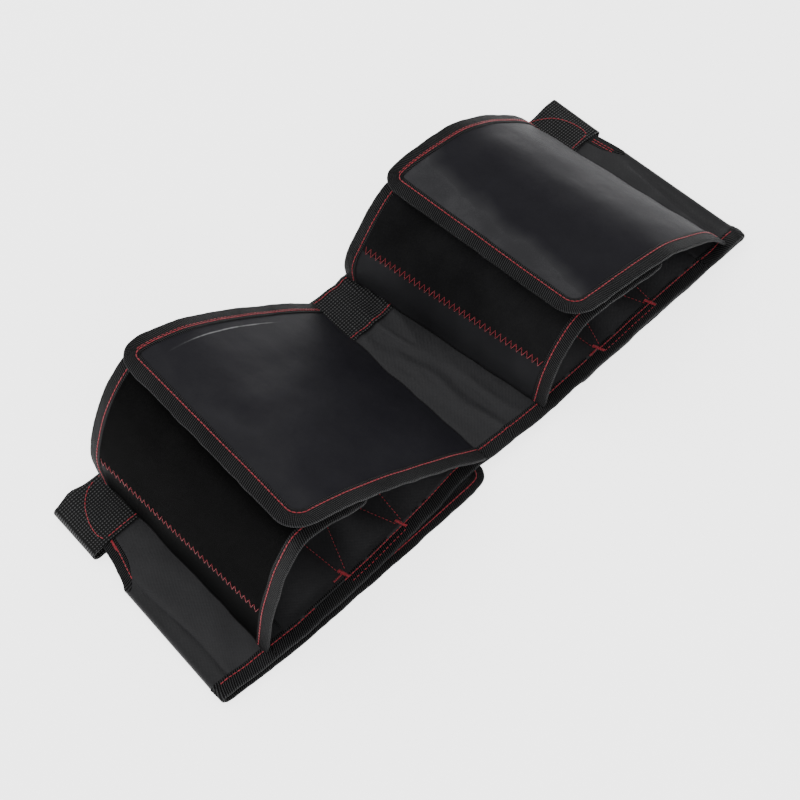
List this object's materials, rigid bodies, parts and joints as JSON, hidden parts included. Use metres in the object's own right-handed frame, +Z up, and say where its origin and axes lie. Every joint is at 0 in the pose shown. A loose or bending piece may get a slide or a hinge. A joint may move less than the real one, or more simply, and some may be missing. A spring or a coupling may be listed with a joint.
{
  "type": "electrician tool pouch",
  "caption": "Folded fabric tool pouch: hook-and-loop cover flaps close over loop bands to form open tunnels above pleated pockets, on a strip with webbing and strap loops.",
  "frame": {"origin": "centre of the footprint, at the height of the surface it lies on", "axes": "+X along the strip towards the right bay, +Y towards the webbing edge, +Z up out of the pockets"},
  "size_m": [0.523, 0.205, 0.1245],
  "materials": {
    "oxford": "dark grey woven Oxford fabric, faint sheen",
    "coated_fabric": "near-black coated fabric with a soft sheen",
    "loop_velvet": "matte near-black loop pile",
    "plain_satin": "smooth near-black satin tape",
    "webbing": "coarse woven near-black webbing",
    "binding": "ribbed near-black binding tape",
    "hook_tape": "matte near-black hook tape",
    "thread": "bright red polyester thread"
  },
  "bodies": {
    "left_panel": {"left_front_panel": "oxford", "left_lower_binding": "binding", "left_corner_binding": "binding", "left_top_webbing": "webbing", "left_webbing_loop": "webbing", "left_pocket_panel": "oxford", "left_pocket_hem": "binding", "left_bar_tack_1": "thread", "left_bar_tack_2": "thread"},
    "left_back": {"left_back_flap": "oxford", "left_back_binding": "binding", "left_webbing_tail": "webbing"},
    "left_cover": {"left_cover_flap": "coated_fabric", "left_cover_binding": "binding", "left_hook_patch": "hook_tape"},
    "left_band": {"left_foot_strip": "plain_satin", "left_loop_fabric": "loop_velvet", "left_band_binding_near": "binding", "left_band_binding_far": "binding"},
    "right_panel": {"right_front_panel": "oxford", "right_lower_binding": "binding", "right_corner_binding": "binding", "right_top_webbing": "webbing", "right_webbing_loop": "webbing", "right_pocket_panel": "oxford", "right_pocket_hem": "binding", "right_bar_tack_1": "thread", "right_bar_tack_2": "thread"},
    "right_back": {"right_back_flap": "oxford", "right_back_binding": "binding", "right_webbing_tail": "webbing"},
    "right_cover": {"right_cover_flap": "coated_fabric", "right_cover_binding": "binding", "right_hook_patch": "hook_tape"},
    "right_band": {"right_foot_strip": "plain_satin", "right_loop_fabric": "loop_velvet", "right_band_binding_near": "binding", "right_band_binding_far": "binding"}
  },
  "joints": [
    {"name": "centre_fold", "type": "hinge", "parent": "left_panel", "child": "right_panel", "pos_m": [0.012, 0, 0.0102], "axis": [0, -1, 0], "range_deg": [0, 35]},
    {"name": "left_end_fold", "type": "hinge", "parent": "left_panel", "child": "left_back", "pos_m": [-0.25645, 0, 0.00505], "axis": [0, 1, 0], "range_deg": [0, 179]},
    {"name": "right_end_fold", "type": "hinge", "parent": "right_panel", "child": "right_back", "pos_m": [0.25645, 0, 0.00505], "axis": [0, -1, 0], "range_deg": [0, 179]},
    {"name": "left_cover_hinge", "type": "hinge", "parent": "left_panel", "child": "left_cover", "pos_m": [-0.0096, 0, 0.0119], "axis": [0, 1, 0], "range_deg": [0, 60]},
    {"name": "right_cover_hinge", "type": "hinge", "parent": "right_panel", "child": "right_cover", "pos_m": [0.23725, 0, 0.0119], "axis": [-0.0975, 0.9952, 0], "range_deg": [0, 110]},
    {"name": "left_band_fold", "type": "hinge", "parent": "left_panel", "child": "left_band", "pos_m": [-0.21673, 0, 0.0119], "axis": [-0.0077, 1, 0], "range_deg": [0, 25]},
    {"name": "right_band_fold", "type": "hinge", "parent": "right_panel", "child": "right_band", "pos_m": [0.04026, 0, 0.0119], "axis": [-0.1025, 0.9947, 0], "range_deg": [0, 15]}
  ]
}
